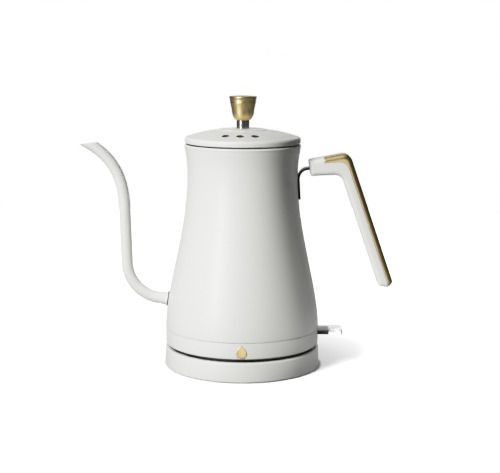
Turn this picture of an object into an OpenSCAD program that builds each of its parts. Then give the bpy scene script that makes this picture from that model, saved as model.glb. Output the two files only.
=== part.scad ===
// Electric gooseneck kettle on its cordless power base.
// Millimetres. +Z is up, +X points to the handle, -X to the spout and -Y to the front.
// The origin is on the kettle's axis, on the surface that the power base stands on.

/* [Power base] */
// Outer diameter of the power base
base_d = 138; // [136:0.5:142]
// Height of the power base's white rim
base_top_z = 18; // [17:0.5:19]
// Diameter of the raised connector in the middle of the base
socket_d = 35; // [32:0.5:35]
// Inner diameter of the rear bush that the mains lead leaves through
cord_bore_d = 7.2; // [6:0.2:8]

/* [Vessel] */
// Diameter of the vessel where it meets the skirt ring
body_d = 136; // [134:0.5:140]
// Diameter of the vessel's waist
neck_d = 96.8; // [94:0.2:98]
// Diameter over the rolled rim
rim_d = 102; // [101:0.2:103]
// Height of the seam between vessel and skirt ring
seam_z = 35; // [34:0.5:36]
// Height of the waist
neck_z = 170; // [166:1:172]
// Height of the rolled rim
rim_z = 197.2; // [195:0.2:199]
// Thickness of the vessel's sheet steel
wall = 0.8; // [0.6:0.1:1]
// Height of the vessel's floor
floor_z = 47; // [46:0.5:48]

/* [Lid and knob] */
// Diameter of the lid
lid_d = 101.4; // [100:0.2:102]
// Rise of the lid's dome above its edge
dome_rise = 7; // [5:0.5:9]
// Greatest diameter of the knob
knob_d = 24.4; // [22:0.2:26]
// Height of the knob above its stem
knob_h = 21.2; // [18:0.2:24]

/* [Spout] */
// Outer diameter of the tube at its root
spout_root_d = 10.4; // [10:0.2:11]
// Outer diameter of the tube at its mouth
spout_tip_d = 9.8; // [9:0.2:10.4]
// Height at which the spout leaves the vessel
spout_z = 58.9; // [57:0.5:61]

/* [Handle] */
// Width of the handle from front to back
handle_w = 22; // [20:0.5:24]
// Width of the steel bracket
bracket_w = 14; // [12:0.5:15]
// Thickness of the steel bracket
bracket_t = 1.8; // [1.6:0.1:2.6]

/* [Switch] */
// Width of the switch lever's arm
lever_w = 22; // [18:0.5:24]
// Height of the lever's pivot
pivot_z = 30.7; // [30.2:0.1:31]

/* [Hidden] */
$fn = 96;

base_r = base_d / 2;
body_r = body_d / 2;
neck_r = neck_d / 2;
rim_r = rim_d / 2;
lid_r = lid_d / 2;
gap = 0.3;                 // clearance between pieces that come apart
slip = 0.05;               // running clearance of pins and shanks

foot_r = 53;               // middle of the rubber ring that the base stands on
foot_w = 7;
foot_h = 1.8;
plate_z = 1.2;             // underside of the base's bottom plate
plate_t = 2;
deck_r = base_r - 5;
deck_z = base_top_z - 2.2; // underside of the black deck
deck_t = 1.7;
socket_r = socket_d / 2;
socket_top_z = 27.6;
cord_z = 8.6;              // height of the mains lead's exit
clamp_x = [-6.4, 6.4];     // the cord clamp's two screws
clamp_y = 50;
boss_n = 3;                // screw bosses in the base and in the skirt ring

skirt_z = 21;              // lower edge of the kettle's skirt ring
skirt_r = body_r - 0.1;
skirt_in_r = skirt_r - 2.5;
tongue_r = body_r - 1.85;  // straight inner wall of the vessel below its floor
bead_r = 1.3;
element_r = 38;
element_wire_r = 3.4;
element_gap_a = 36;        // half the angle left open in the horseshoe element
control_z = 28.5;          // underside of the control's housing
control_h = 8;
control_r = 24;
pin_r = 2.4;
ring_in_r = 8;
ring_out_r = 9.4;
plug_z = 19.2;             // lower end of the kettle's two contacts
steam_x = 42.5;
steam_r = 3.5;
steam_top_z = 181;

lid_z = rim_z + 1.2;       // lower edge of the lid
lid_t = 1;
lid_edge_h = 5.7;          // height of the lid's rounded edge
dome_edge_r = lid_r - 2.1;
dome_z = lid_z + lid_edge_h + dome_rise;
disc_r = 21.5;             // raised disc round the knob
disc_h = 0.4;
vent_ring_r = 37.5;
vent_r = 3.2;
vent_angles = [-22.8, -3.3, 16.2];
pan_r = 45.2;
pan_z = 187;
stem_r = 5.7;
stem_h = 7.2;
seat_z = dome_z - 0.1;     // flat seat of the knob's stem
knob_z = seat_z + stem_h;
screw_r = 2;

pivot_x = 60;
lever_t = 3.4;             // thickness of the lever's arm
paddle_t = 4.2;
paddle_z = pivot_z - 2.4;  // underside of the clear paddle
arm_end_x = 76.8;
paddle_end_x = 89.3;

// Corners of the handle's side view, as x and z, and the radius at each.
arm_low = [59.4, 170.1];
arm_high = [57.3, 183.6];
knee_out = [93.2, 190.7];
knee_in = [86.3, 171.5];
grip_out = [133.2, 76.5];
grip_end_out = [129.8, 71.2];
grip_end_in = [120.5, 73];
trim_x = 71;               // where the brass trim begins on the arm
strap_z = 176.2;           // level run of the bracket, inside the arm
strap_r = 8.4;             // bend of the bracket's centre line
strap_x = neck_r - 0.2 + bracket_t / 2;
strap_end_x = 80.5;
strap_foot_z = 149.2;
handle_screw_x = [66, 75];

// ---- Shape helpers ----

function unit(v) = v / norm(v);

function bezier(a, b, c, d, n) =
    [for (i = [0:n]) let (t = i / n, u = 1 - t) u*u*u*a + 3*u*u*t*b + 3*u*t*t*c + t*t*t*d];

function arc(centre, r, from, to, n = 8) =
    [for (i = [0:n]) let (a = from + (to - from) * i / n) centre + r * [cos(a), sin(a)]];

function short_turn(from, to) =
    let (d = to - from) d > 180 ? d - 360 : d < -180 ? d + 360 : d;

// The arc of radius r that rounds the corner at p, coming from a and leaving for b.
function fillet(a, p, b, r, n = 6) =
    let (u = unit(a - p), v = unit(b - p), half = acos(u * v) / 2,
         centre = p + unit(u + v) * r / sin(half),
         s = p + u * r / tan(half) - centre, e = p + v * r / tan(half) - centre,
         from = atan2(s.y, s.x))
    arc(centre, r, from, from + short_turn(from, atan2(e.y, e.x)), n);

// A closed outline with each corner rounded by its own radius.
function rounded(points, radii, n = 6) =
    let (k = len(points))
    [for (i = [0:k - 1])
        each fillet(points[(i + k - 1) % k], points[i], points[(i + 1) % k], radii[i], n)];

function reversed(list) = [for (i = [len(list) - 1:-1:0]) list[i]];

module side_view(width) rotate([90, 0, 0]) linear_extrude(width, center = true) children();

module along_x(r, from, to) translate([from, 0, 0]) rotate([0, 90, 0]) cylinder(r = r, h = to - from);

module along_y(r, length) rotate([90, 0, 0]) cylinder(r = r, h = length, center = true);

module ring(in_r, out_r, from, to)
    translate([0, 0, from]) difference() {
        cylinder(r = out_r, h = to - from);
        translate([0, 0, -1]) cylinder(r = in_r, h = to - from + 2);
    }

module disc(r, from, to) translate([0, 0, from]) cylinder(r = r, h = to - from);

module around(n, start = 0) for (i = [0:n - 1]) rotate(start + i * 360 / n) children();

// A tube through a list of points, as rings of `sides` corners. bore_t is the thickness of its wall,
// and 0 makes a solid rod.
function frame_at(path, i) =
    let (k = len(path), t = unit(path[min(i + 1, k - 1)] - path[max(i - 1, 0)]),
         side = unit(cross(t, abs(t.y) > 0.9 ? [0, 0, 1] : [0, 1, 0])))
    [t, side, cross(t, side)];

function tube_ring(path, i, r, sides) =
    let (f = frame_at(path, i))
    [for (s = [0:sides - 1]) let (a = 360 * s / sides) path[i] + r * (cos(a) * f[1] + sin(a) * f[2])];

function skin_faces(first, rings, sides, out) =
    [for (i = [0:rings - 2], s = [0:sides - 1])
        let (a = first + i * sides + s, b = first + i * sides + (s + 1) % sides,
             c = b + sides, d = a + sides)
        each (out ? [[a, c, b], [a, d, c]] : [[a, b, c], [a, c, d]])];

module tube(path, radii, sides, bore_t = 0) {
    k = len(path);
    outer = [for (i = [0:k - 1]) each tube_ring(path, i, radii[i], sides)];
    if (bore_t > 0) {
        inner = [for (i = [0:k - 1]) each tube_ring(path, i, radii[i] - bore_t, sides)];
        m = k * sides;
        ends = [for (s = [0:sides - 1], e = [0, (k - 1) * sides])
            let (a = e + s, b = e + (s + 1) % sides)
            each (e > 0 ? [[a, b + m, b], [a, a + m, b + m]] : [[a, b, b + m], [a, b + m, a + m]])];
        polyhedron(concat(outer, inner),
            concat(skin_faces(0, k, sides, true), skin_faces(m, k, sides, false), ends));
    } else
        polyhedron(outer, concat(skin_faces(0, k, sides, true),
            [[for (s = [0:sides - 1]) s]], [reversed([for (s = [0:sides - 1]) (k - 1) * sides + s])]));
}

// ---- Power base ----

module base_boss_ring(r, from, to, in_r, reach)
    around(boss_n, 30) difference() {
        union() {
            translate([r, 0, from]) cylinder(r = 3.6, h = to - from);
            translate([r, -1.2, from]) cube([reach - r, 2.4, to - from]);
        }
        translate([r, 0, from - 1]) cylinder(r = in_r, h = to - from + 2);
    }

module base_cover() color("whitesmoke") {
    lower = 0.8;
    difference() {
        union() {
            rotate_extrude() polygon(concat(
                [[base_r - 2.4, lower + 0.4], [base_r - 2.4, lower]],
                arc([base_r - 1.3, lower + 1.3], 1.3, -90, -8),
                arc([base_r - 2.4, base_top_z - 1.6], 1.6, 4, 90),
                [[deck_r + 0.2, base_top_z], [deck_r + 0.2, deck_z], [deck_r - 2, deck_z],
                 [deck_r - 2, deck_z - 2], [base_r - 3.4, deck_z - 2]]));
            base_boss_ring(deck_r - 4, plate_z + plate_t, deck_z - 2, 1.55, base_r - 2.9);
        }
        translate([0, base_r, cord_z]) along_y(5.05, 20);
    }
}

module base_deck() color([0.1, 0.1, 0.1]) {
    ring(socket_r + 0.1, deck_r, deck_z, deck_z + deck_t);
    ring(socket_r + 2.4, socket_r + 3.6, deck_z + deck_t, deck_z + deck_t + 1);
    ring(44, 44.8, deck_z + deck_t, deck_z + deck_t + 0.3);
}

module base_plate() color("gainsboro") difference() {
    union() {
        disc(base_r - 2.7, plate_z, plate_z + plate_t);
        ring(26, 27.5, plate_z + plate_t, deck_z - 3.5);
        for (x = clamp_x) translate([x, clamp_y, plate_z + plate_t])
            cylinder(r = 2.5, h = cord_z - plate_z - plate_t);
    }
    for (x = clamp_x) translate([x, clamp_y, plate_z + plate_t]) cylinder(r = 1.25, h = 10);
    ring(foot_r - foot_w / 2 - 0.1, foot_r + foot_w / 2 + 0.1, plate_z - 1, foot_h);
    around(boss_n, 30) translate([deck_r - 4, 0, plate_z - 1]) {
        cylinder(r = 1.6, h = plate_t + 2);
        cylinder(r = 3, h = 2);
    }
    around(24) translate([34, -0.8, plate_z - 1]) cube([10, 1.6, plate_t + 2]);
    translate([-4, 20, plate_z + plate_t]) cube([8, 15, 12]);
}

module foot_ring() color([0.15, 0.15, 0.15]) rotate_extrude() translate([foot_r - foot_w / 2, 0])
    polygon([[0.5, 0], [foot_w - 0.5, 0], [foot_w, 0.5], [foot_w, foot_h], [0, foot_h], [0, 0.5]]);

module screw(head_r, head_h, shank_r, length) {
    difference() {
        cylinder(r = head_r, h = head_h);
        for (a = [0, 90]) rotate(a) translate([-head_r * 0.6, -0.35, -0.1])
            cube([head_r * 1.2, 0.7, head_h * 0.6]);
    }
    translate([0, 0, head_h]) cylinder(r = shank_r, h = length - head_h);
}

module base_screws() color("silver")
    around(boss_n, 30) translate([deck_r - 4, 0, plate_z + 0.05]) screw(2.8, 0.95, 1.5, 12);

module base_socket() color([0.08, 0.08, 0.08]) difference() {
    union() {
        disc(21, 5, deck_z - 1);
        disc(24, deck_z - 3, deck_z);
        disc(socket_r, deck_z, socket_top_z - 1);
        translate([0, 0, socket_top_z - 1]) cylinder(r1 = socket_r, r2 = socket_r - 1, h = 1);
    }
    disc(pin_r + slip, 9, 20);
    disc(pin_r + 0.7, 18.6, socket_top_z + 1);
    disc(3.8, 5.8, 9.2);
    ring(ring_in_r - 0.7, ring_out_r + 0.7, 14, socket_top_z + 1);
    around(3, 30) translate([14, 0, 2]) cylinder(r = 1.2, h = 9);
}

module socket_contacts() color("goldenrod") {
    ring(ring_in_r - 0.6, ring_out_r + 0.6, 14, 16.4);
    around(3, 90) translate([12, -0.4, 3.5]) cube([4, 0.8, 1.5]);
}

module plunger_spring() color("silver") {
    turns = 2;
    steps = 12;
    path = [for (i = [0:turns * steps]) let (a = 360 * i / steps)
        [2.6 * cos(a), 2.6 * sin(a), 6 + 0.85 * i / (turns * steps)]];
    tube(path, [for (p = path) 0.15], 6);
}

module earth_plunger() color("goldenrod") {
    disc(3.6, 7.05, 9);
    disc(pin_r, 9, plug_z - gap);
}

module cord_bush() color([0.15, 0.15, 0.15]) translate([0, 0, cord_z]) difference() {
    union() {
        translate([0, base_r - 6, 0]) along_y(5, 12.2);
        translate([0, base_r + 0.8, 0]) along_y(6.4, 1.5);
    }
    translate([0, base_r - 3, 0]) along_y(cord_bore_d / 2, 30);
}

module cord_clamp() color("gainsboro") difference() {
    translate([-9, clamp_y - 3, cord_z]) cube([18, 6, 4.5]);
    translate([0, clamp_y, cord_z]) along_y(cord_bore_d / 2 + 0.1, 20);
    for (x = clamp_x) translate([x, clamp_y, cord_z - 1]) cylinder(r = 1.25, h = 8);
}

module clamp_screws() color("silver")
    for (x = clamp_x) translate([x, clamp_y, cord_z + 4.5]) {
        cylinder(r = 2.2, h = 1.2);
        translate([0, 0, -9.8]) cylinder(r = 1.2, h = 9.8);
    }

// ---- Vessel ----

vessel_side = bezier([body_r, seam_z], [body_r, seam_z + 35], [neck_r, neck_z - 48], [neck_r, neck_z], 18);
vessel_flare = bezier([neck_r, neck_z], [neck_r, neck_z + 11], [rim_r - 1.4, rim_z - 10],
    [rim_r - 0.4, rim_z - 4.4], 5);
vessel_outline = concat(vessel_side, [for (i = [1:len(vessel_flare) - 1]) vessel_flare[i]]);

// The vessel's outer shape, filled, and made wider all round by `reach`.
module body_solid(reach = 0) rotate_extrude() polygon(concat(
    [[0, seam_z]], [for (p = vessel_outline) p + [reach, 0]], [[0, rim_z - 4.4]]));

module kettle_shell() color("whitesmoke") difference() {
    rotate_extrude() polygon(concat(
        vessel_outline,
        arc([rim_r - bead_r, rim_z - bead_r], bead_r, -30, 180, 12),
        [for (p = reversed(vessel_outline)) if (p.y > floor_z + 4) p - [wall, 0]],
        [[tongue_r, floor_z + 2.5], [tongue_r, seam_z]]));
    at_spout_root() along_x(spout_root_d / 2 + slip, -8, 8);
}

module vessel_floor() color("silver") difference() {
    disc(tongue_r, floor_z - 6, floor_z + wall);
    disc(tongue_r - wall, floor_z - 7, floor_z);
    translate([steam_x, 0, floor_z - 1]) cylinder(r = 4.7, h = 4);
}

module heat_plate() color("lightgray") difference() {
    disc(52, floor_z - 3.5, floor_z);
    translate([steam_x, 0, floor_z - 5]) cylinder(r = 6.6, h = 8);
}

element_z = floor_z - 3.55 - element_wire_r;

module heating_element() color("dimgray")
    translate([0, 0, element_z]) rotate(element_gap_a) rotate_extrude(angle = 360 - 2 * element_gap_a)
        translate([element_r, 0]) circle(r = element_wire_r);

module element_terminals() color("silver")
    for (s = [-1, 1]) rotate(s * element_gap_a) translate([element_r, 0, element_z])
        rotate([s * 90, 0, 0]) cylinder(r = 1.4, h = 8);

module skirt_ring() color("whitesmoke") difference() {
    union() {
        rotate_extrude() polygon(concat(
            [[skirt_in_r, skirt_z]],
            arc([skirt_r - 1.2, skirt_z + 1.2], 1.2, -90, 0),
            [[skirt_r, seam_z - 0.25], [tongue_r - 0.05, seam_z - 0.25], [tongue_r - 0.05, seam_z + 4],
             [tongue_r - 1.8, seam_z + 4], [tongue_r - 1.8, skirt_z + 5], [skirt_in_r, skirt_z + 4]]));
        around(boss_n, 90) difference() {
            union() {
                translate([57, 0, skirt_z + 0.6]) cylinder(r = 3.6, h = 15);
                translate([57, -1.2, skirt_z + 0.6]) cube([tongue_r - 58, 2.4, 15]);
            }
            translate([57, 0, skirt_z - 1]) cylinder(r = 1.25, h = 14);
        }
    }
    translate([skirt_in_r - 6, -lever_w / 2 - 0.6, pivot_z - 5]) cube([15, lever_w + 1.2, 8.2]);
}

module bottom_cover() color([0.1, 0.1, 0.1]) difference() {
    union() {
        disc(skirt_in_r - 0.1, skirt_z - 1.4, skirt_z + 0.6);
        ring(58.5, 61, base_top_z - 0.2, skirt_z - 1.4);
        ring(socket_r + 3.9, socket_r + 5.4, skirt_z + 0.6, control_z);
    }
    disc(socket_r + 3.9, base_top_z - 2, skirt_z + 2);
    around(boss_n, 90) translate([57, 0, base_top_z - 2]) cylinder(r = 1.35, h = 8);
    around(boss_n, 90) translate([57, 0, skirt_z - 2.4]) cylinder(r = 2.7, h = 2);
}

module bottom_screws() color("silver")
    around(boss_n, 90) translate([57, 0, skirt_z - 1.4]) screw(2.5, 1, 1.2, 11);

module control_body() color("ivory") difference() {
    union() {
        disc(control_r, control_z, control_z + control_h);
        ring(socket_r + 0.7, socket_r + 3.8, skirt_z - 1.2, control_z);
        for (s = [-1, 1]) translate([0, s * 15, control_z + control_h])
            cylinder(r = 4, h = floor_z - 4 - control_z - control_h);
    }
    translate([0, 0, control_z - 1]) cylinder(r = pin_r, h = 5);
    ring(ring_in_r, ring_out_r, control_z - 1, control_z + 4);
    translate([12, -6, control_z + 3]) cube([16, 12, 3]);
}

module bimetal_discs() color("goldenrod")
    for (s = [-1, 1]) translate([0, s * 15, floor_z - 4]) rotate_extrude()
        polygon([[0, 0], [9.5, 0.1], [9.5, 0.5], [0, 0.4]]);

module connector_pin() color("goldenrod") {
    disc(pin_r, plug_z + 0.8, control_z + 4);
    translate([0, 0, plug_z]) cylinder(r1 = pin_r - 0.8, r2 = pin_r, h = 0.8);
}

module connector_ring() color("goldenrod") ring(ring_in_r, ring_out_r, plug_z, control_z + 4);

module steam_tube() color("silver") translate([steam_x, 0, 0])
    ring(steam_r - 0.5, steam_r, floor_z - 7, steam_top_z);

module steam_seal() color("lightgray") translate([steam_x, 0, 0]) {
    ring(steam_r, 4.7, floor_z - 2, floor_z + wall);
    ring(steam_r, 6.2, floor_z + wall, floor_z + 2.4);
    ring(steam_r, 6.4, floor_z - 3.4, floor_z - 2);
}

// ---- Switch ----

module steam_switch() color("ivory") difference() {
    translate([47, -8, skirt_z + 0.6]) cube([4.6, 16, 13]);
    translate([46, -5, skirt_z + 8]) cube([3, 10, 4]);
}

module switch_bracket() color([0.2, 0.2, 0.2]) {
    difference() {
        for (s = [-1, 1]) translate([pivot_x - 3.6, s * 7.8 - 1.2, skirt_z + 0.6]) cube([6.8, 2.4, 14]);
        translate([pivot_x, 0, pivot_z]) along_y(1.5, 30);
    }
    translate([pivot_x - 8.2, -9, skirt_z + 0.6]) cube([1.6, 18, 14]);
    for (s = [-1, 1]) translate([pivot_x - 6.6, s * 7.8 - 1.2, skirt_z + 0.6]) cube([3, 2.4, 4]);
}

module lever_pin() color("silver") translate([pivot_x, 0, pivot_z]) along_y(1.5, 18);

module switch_lever() color([0.12, 0.12, 0.12]) difference() {
    union() {
        translate([pivot_x, 0, pivot_z]) along_y(3.1, 11.8);
        translate([pivot_x - 4.4, -5.9, pivot_z - 2]) cube([10, 11.8, 3.6]);
        translate([pivot_x + 4.2, -lever_w / 2, pivot_z - lever_t / 2])
            cube([arm_end_x - pivot_x - 4.2, lever_w, lever_t]);
        translate([arm_end_x, -3, pivot_z - 1]) cube([6, 6, 2]);
    }
    translate([pivot_x, 0, pivot_z]) along_y(1.5 + slip, 20);
}

module lever_paddle() color([0.9, 0.95, 1, 0.4]) {
    half = lever_w / 2 + 0.6;
    difference() {
        translate([0, 0, paddle_z]) linear_extrude(paddle_t) polygon(rounded(
            [[arm_end_x, -half], [paddle_end_x, -half], [paddle_end_x, half], [arm_end_x, half]],
            [0.6, 4.5, 4.5, 0.6]));
        translate([arm_end_x - 1, -3.05, pivot_z - 1.05]) cube([7.1, 6.1, 2.1]);
    }
}

// ---- Badge: a plain drop on the front of the skirt ring ----

drop_r = 4.5;
drop_tip = 7.2;            // distance from the drop's round centre to its tip

module badge() color("goldenrod") {
    side = acos(drop_r / drop_tip);
    intersection() {
        ring(skirt_r, skirt_r + 0.6, skirt_z + 1, seam_z - 1);
        translate([0, -skirt_r, skirt_z + 5.3]) side_view(20)
            polygon(concat([[0, drop_tip]], arc([0, 0], drop_r, 90 + side, 450 - side, 20)));
    }
}

// ---- Spout ----

// Each bend is its radius and the angle it turns; positive turns left, seen from the front.
// After each bend comes a straight run of the length given last, which may be 0.
spout_start = [-body_r + 3.5, spout_z - 0.4];
spout_rise = 174;          // heading at the root, in degrees from +X
spout_root_l = 8.2;
spout_bends = [[33, -82.2, 10, 50.2], [94, 12.6, 3, 0], [54.5, 31.5, 8, 0], [57, 13.5, 4, 3]];
gasket_t = 0.8;            // thickness of the seal between the vessel and the collar's flange
flange_t = 0.8;
flange_r = 6.5;
sleeve_r = 5.65;           // outer radius of the collar's sleeve
sleeve_end = 6.5;          // where the sleeve ends, along the root from spout_start
sleeve_lip = [5.9, 5.85];  // start and radius of the lip at the sleeve's end

function run_bend(p, heading, bend) =
    let (s = sign(bend[1]), centre = p + s * bend[0] * [-sin(heading), cos(heading)],
         turned = [for (i = [1:bend[2]]) let (h = heading + bend[1] * i / bend[2])
             centre - s * bend[0] * [-sin(h), cos(h)]],
         away = heading + bend[1])
    bend[3] == 0 ? turned : concat(turned, [turned[bend[2] - 1] + bend[3] * [cos(away), sin(away)]]);

function run_path(p, heading, bends, k = 0) =
    k == len(bends) ? [] : let (piece = run_bend(p, heading, bends[k]))
    concat(piece, run_path(piece[len(piece) - 1], heading + bends[k][1], bends, k + 1));

spout_root_end = spout_start + spout_root_l * [cos(spout_rise), sin(spout_rise)];
spout_flat = concat([spout_start, (spout_start + spout_root_end) / 2, spout_root_end],
    run_path(spout_root_end, spout_rise, spout_bends));
spout_mouth = spout_flat[len(spout_flat) - 1];
spout_way = unit(spout_mouth - spout_flat[len(spout_flat) - 2]);
spout_spare = 10;          // run past the mouth that the mouth's slanting cut takes off
spout_path = [for (p = concat(spout_flat, [spout_mouth + spout_spare * spout_way])) [p.x, 0, p.y]];
mouth_slope = 0.13;        // rise of the mouth's plane towards the vessel

// Turns +X into the spout's heading where it leaves the vessel.
module at_spout_root() translate([spout_start.x, 0, spout_start.y]) rotate([0, -spout_rise, 0]) children();

module spout_tube() color("whitesmoke") difference() {
    k = len(spout_path);
    radii = [for (i = [0:k - 1]) let (t = i / (k - 1)) ((1 - t) * spout_root_d + t * spout_tip_d) / 2];
    tube(spout_path, radii, 16, wall);
    translate([spout_mouth.x, 0, spout_mouth.y]) rotate([0, -atan(mouth_slope), 0])
        translate([-20, -20, 0]) cube([40, 40, 20]);
}

module spout_collar() color("whitesmoke") difference() {
    union() {
        intersection() {
            at_spout_root() along_x(flange_r, -4, 8);
            body_solid(gasket_t + flange_t);
        }
        at_spout_root() along_x(sleeve_r, -2, sleeve_end);
        at_spout_root() along_x(sleeve_lip[1], sleeve_lip[0], sleeve_end);
    }
    at_spout_root() along_x(spout_root_d / 2 + slip, -8, 12);
    body_solid(gasket_t);
}

module spout_gasket() color([0.1, 0.1, 0.1]) difference() {
    intersection() {
        at_spout_root() along_x(flange_r + 0.2, -4, 8);
        body_solid(gasket_t);
    }
    at_spout_root() along_x(spout_root_d / 2 + slip, -8, 12);
    body_solid();
}

// ---- Handle ----

handle_outline = rounded([arm_low, arm_high, knee_out, grip_out, grip_end_out, grip_end_in, knee_in],
    [1.2, 1.6, 8, 2.5, 1.5, 2.5, 9]);

// Where the trim's inner face runs: level under the arm's top, then parallel to the grip's back.
grip_way = unit(grip_out - knee_out);
trim_start = [trim_x, 181.6];
trim_knee = knee_out - [2.6, 7.6];
trim_low = trim_knee + 130 * grip_way;
trim_band = rounded([trim_start, [trim_x, 200], [200, 200], [200, trim_low.y], trim_low, trim_knee],
    [0.8, 2, 2, 2, 1, 8]);

module handle_body() color("whitesmoke") difference() {
    side_view(handle_w) polygon(handle_outline);
    side_view(handle_w + 2) polygon(trim_band);
    translate([strap_end_x - 30, -bracket_w / 2 - 0.1, strap_z - bracket_t / 2 - 0.1])
        cube([30.1, bracket_w + 0.2, bracket_t + 0.2]);
    for (x = handle_screw_x) translate([x, 0, 160]) {
        cylinder(r = 1.6, h = strap_z - 160);
        cylinder(r = 3.1, h = 12.3);
    }
}

module handle_trim() color("goldenrod") intersection() {
    side_view(handle_w) polygon(handle_outline);
    side_view(handle_w + 2) polygon(trim_band);
}

module handle_bracket() color("dimgray") {
    bend = [strap_x + strap_r, strap_z - strap_r];
    difference() {
        side_view(bracket_w) polygon(concat(
            [[strap_end_x, strap_z + bracket_t / 2]],
            arc(bend, strap_r + bracket_t / 2, 90, 180),
            [[neck_r - 9, bend.y], [neck_r - 9, strap_foot_z], [strap_x + bracket_t / 2 + 1, strap_foot_z]],
            [[strap_x + bracket_t / 2, bend.y - 2]],
            reversed(arc(bend, strap_r - bracket_t / 2, 90, 180)),
            [[strap_end_x, strap_z - bracket_t / 2]]));
        body_solid();
        for (x = handle_screw_x) translate([x, 0, strap_z - 5]) cylinder(r = 1.45, h = 10);
    }
}

module handle_screws() color("silver")
    for (x = handle_screw_x) translate([x, 0, 170.9]) {
        cylinder(r = 3, h = 1.3);
        translate([0, 0, 1.3]) cylinder(r = 1.4, h = strap_z + bracket_t / 2 - 172.2);
    }

// ---- Lid ----

// The dome is flatter in the middle and falls faster towards its edge than a sphere does.
dome_power = 2.4;

function dome_at(r, drop = 0) = [r, dome_z - drop - dome_rise * pow(r / dome_edge_r, dome_power)];

module vents(from, to) for (a = vent_angles)
    translate([vent_ring_r * sin(a), -vent_ring_r * cos(a), from]) cylinder(r = vent_r, h = to - from);

module lid_shell() color("whitesmoke") difference() {
    rotate_extrude() polygon(concat(
        [[screw_r + 0.3, seat_z], [stem_r + 1, seat_z]],
        [for (r = [12:4.5:disc_r]) dome_at(r)],
        [dome_at(disc_r), dome_at(disc_r + 0.5, disc_h)],
        [for (r = [26:5:46]) dome_at(r, disc_h)],
        arc([lid_r - 2.6, lid_z + lid_edge_h - 2.8], 2.6, 78, 0),
        arc([lid_r - 0.8, lid_z + 0.8], 0.8, 0, -90, 4),
        [[pan_r + 0.8, lid_z], [pan_r + 0.8, lid_z + lid_t], [lid_r - 1.8, lid_z + lid_t],
         [lid_r - 1.4, lid_z + lid_edge_h - 2.6]],
        [for (r = [46:-5:26]) dome_at(r, disc_h + lid_t)],
        [dome_at(disc_r, lid_t + disc_h), [stem_r + 1, seat_z - lid_t], [screw_r + 0.3, seat_z - lid_t]]));
    vents(lid_z + 2, dome_z + 1);
}

module lid_pan() color("silver") difference() {
    union() {
        disc(pan_r, pan_z, lid_z + lid_t);
        disc(pan_r + 0.75, lid_z - 0.1, lid_z + lid_t);
    }
    disc(pan_r - 0.8, pan_z + 0.8, lid_z + 5);
    vents(pan_z - 1, pan_z + 3);
}

module lid_seal() color([0.25, 0.25, 0.25]) {
    ring(pan_r, 48, rim_z - 5, rim_z + 0.3);
    ring(pan_r, 49.6, rim_z + 0.3, lid_z - 0.1);
}

module knob() color("goldenrod") {
    k = knob_d / 2;
    h = knob_h;
    groove = 0.25;
    difference() {
        translate([0, 0, knob_z]) rotate_extrude() polygon(concat(
            [[0, 0]],
            bezier([0.52 * k, 0], [0.68 * k, 0.07 * h], [0.77 * k, 0.18 * h], [0.8 * k, 0.32 * h], 8),
            bezier([0.81 * k, 0.36 * h], [0.84 * k, 0.48 * h], [0.88 * k, 0.58 * h], [0.93 * k, 0.7 * h], 3),
            [[0.94 * k, 0.735 * h], [0.94 * k - groove, 0.745 * h], [0.95 * k, 0.76 * h]],
            [[0.96 * k, 0.8 * h], [0.96 * k - groove, 0.81 * h], [0.97 * k, 0.825 * h]],
            arc([k - 0.7, 0.94 * h], 0.7, 0, 80, 4),
            [[0.55 * k, 0.99 * h], [0, h]]));
        disc(screw_r + slip, knob_z - 1, knob_z + 12);
    }
}

module knob_stem() color("silver") ring(screw_r + 0.2, stem_r, seat_z, knob_z);

module knob_screw() color("silver") {
    disc(4, seat_z - lid_t - 2.4, seat_z - lid_t - 0.8);
    disc(screw_r, seat_z - lid_t - 0.8, knob_z + 11);
}

module knob_washer() color("silver") ring(screw_r + 0.1, 5.2, seat_z - lid_t - 0.8, seat_z - lid_t);

base_cover();
base_deck();
base_plate();
foot_ring();
base_screws();
base_socket();
socket_contacts();
plunger_spring();
cord_bush();
cord_clamp();
clamp_screws();
earth_plunger();
kettle_shell();
vessel_floor();
heat_plate();
heating_element();
element_terminals();
skirt_ring();
bottom_cover();
bottom_screws();
control_body();
bimetal_discs();
connector_pin();
connector_ring();
steam_tube();
steam_seal();
steam_switch();
switch_bracket();
lever_pin();
badge();
spout_tube();
spout_collar();
spout_gasket();
handle_bracket();
handle_body();
handle_trim();
handle_screws();
lid_shell();
lid_pan();
lid_seal();
knob();
knob_stem();
knob_screw();
knob_washer();
switch_lever();
lever_paddle();
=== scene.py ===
"""Looks for an electric gooseneck kettle on its power base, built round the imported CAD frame.

Lengths are in millimetres up to mesh_piece(), which turns them into metres.
+Z is up, +X points to the handle, -X to the spout and -Y to the front.
"""
import math

import bmesh
import bpy
import numpy as np
from mathutils import Matrix, Vector
from mathutils.geometry import tessellate_polygon


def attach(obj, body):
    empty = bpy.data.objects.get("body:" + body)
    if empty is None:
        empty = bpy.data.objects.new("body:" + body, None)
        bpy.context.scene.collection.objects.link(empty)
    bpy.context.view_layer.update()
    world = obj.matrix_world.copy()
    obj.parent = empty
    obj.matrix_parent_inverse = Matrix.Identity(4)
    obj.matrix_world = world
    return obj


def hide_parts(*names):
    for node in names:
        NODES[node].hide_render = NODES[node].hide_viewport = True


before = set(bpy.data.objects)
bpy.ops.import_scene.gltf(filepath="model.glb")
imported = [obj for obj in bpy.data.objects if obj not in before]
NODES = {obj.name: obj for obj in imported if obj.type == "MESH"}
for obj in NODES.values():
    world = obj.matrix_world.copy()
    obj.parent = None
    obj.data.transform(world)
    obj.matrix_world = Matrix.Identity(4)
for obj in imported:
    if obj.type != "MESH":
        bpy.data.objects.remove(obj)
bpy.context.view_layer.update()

MM = 0.001
CREASE = 38  # degrees; an edge that turns further than this stays sharp

# ---- Sizes: those of part.scad, and the small roundings that only the looks have ----

slip = 0.05

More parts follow.
